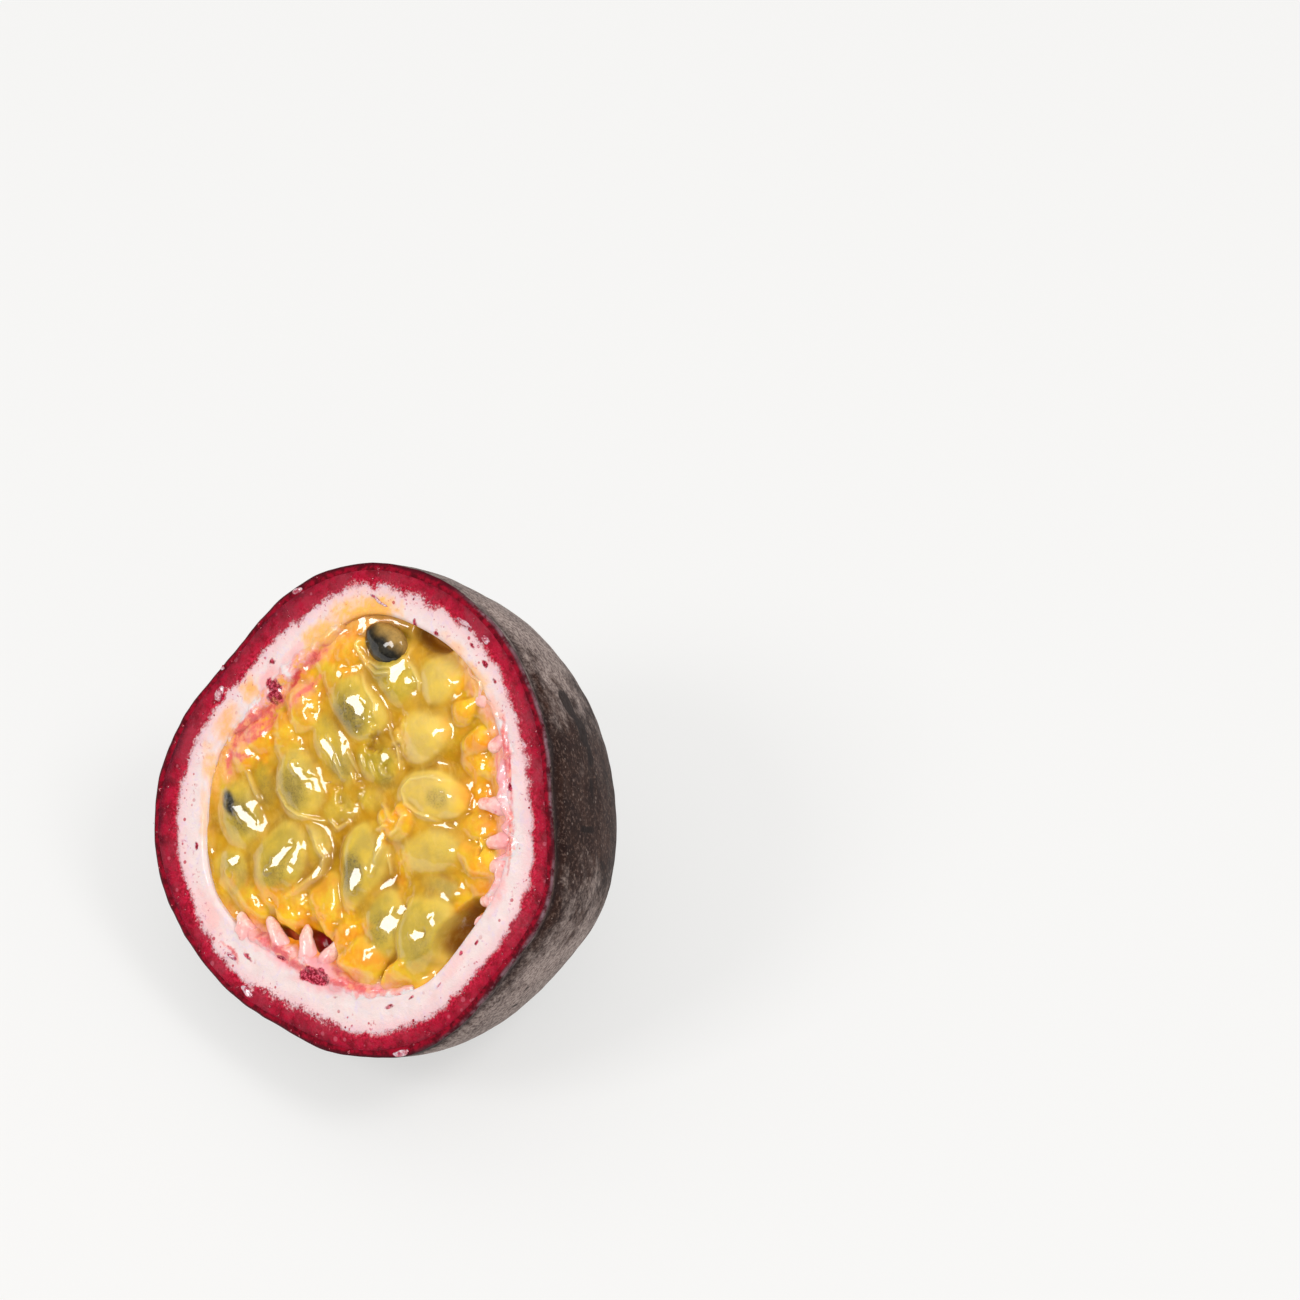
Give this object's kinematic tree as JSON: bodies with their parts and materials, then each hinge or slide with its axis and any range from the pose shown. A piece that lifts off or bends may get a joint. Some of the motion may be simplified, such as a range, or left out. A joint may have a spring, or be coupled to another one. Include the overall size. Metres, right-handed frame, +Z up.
{
  "type": "halved passion fruit",
  "caption": "Cut half of a purple passion fruit lying tilted on its round side, with layered rind, stalked seeds and juicy yellow pulp showing; rests on a small flat spot.",
  "frame": {"origin": "middle of the flat spot on the skin that the half rests on", "axes": "+Z up; the cut faces up, left and forward: its normal points 43.6 degrees above level and 222 degrees round from +X towards +Y"},
  "size_m": [0.0528, 0.0528, 0.0474],
  "materials": {
    "skin": "dull purple-brown peel with fine pale specks and a soft sheen",
    "red_rind": "moist crimson flesh, darker next to the peel",
    "white_pith": "soft white pith with pink flecks",
    "placenta": "moist pink ridge and stalks",
    "pulp": "wet translucent yellow juice sacs with orange ends",
    "seed": "dark seed with a hard pitted coat",
    "stem": "dry green-brown stem end"
  },
  "bodies": {
    "root": {"skin": "skin", "red_rind": "red_rind", "white_pith": "white_pith", "pulp": "pulp", "stem_end": "stem", "placenta_upper": "placenta", "placenta_right": "placenta", "placenta_lower": "placenta", "seed_01": "seed", "seed_02": "seed", "seed_03": "seed", "seed_04": "seed", "seed_05": "seed", "seed_06": "seed", "seed_07": "seed", "seed_08": "seed", "seed_09": "seed", "seed_10": "seed", "seed_11": "seed", "seed_12": "seed", "seed_13": "seed", "seed_14": "seed", "seed_15": "seed", "seed_16": "seed", "seed_17": "seed", "seed_18": "seed"}
  },
  "joints": []
}
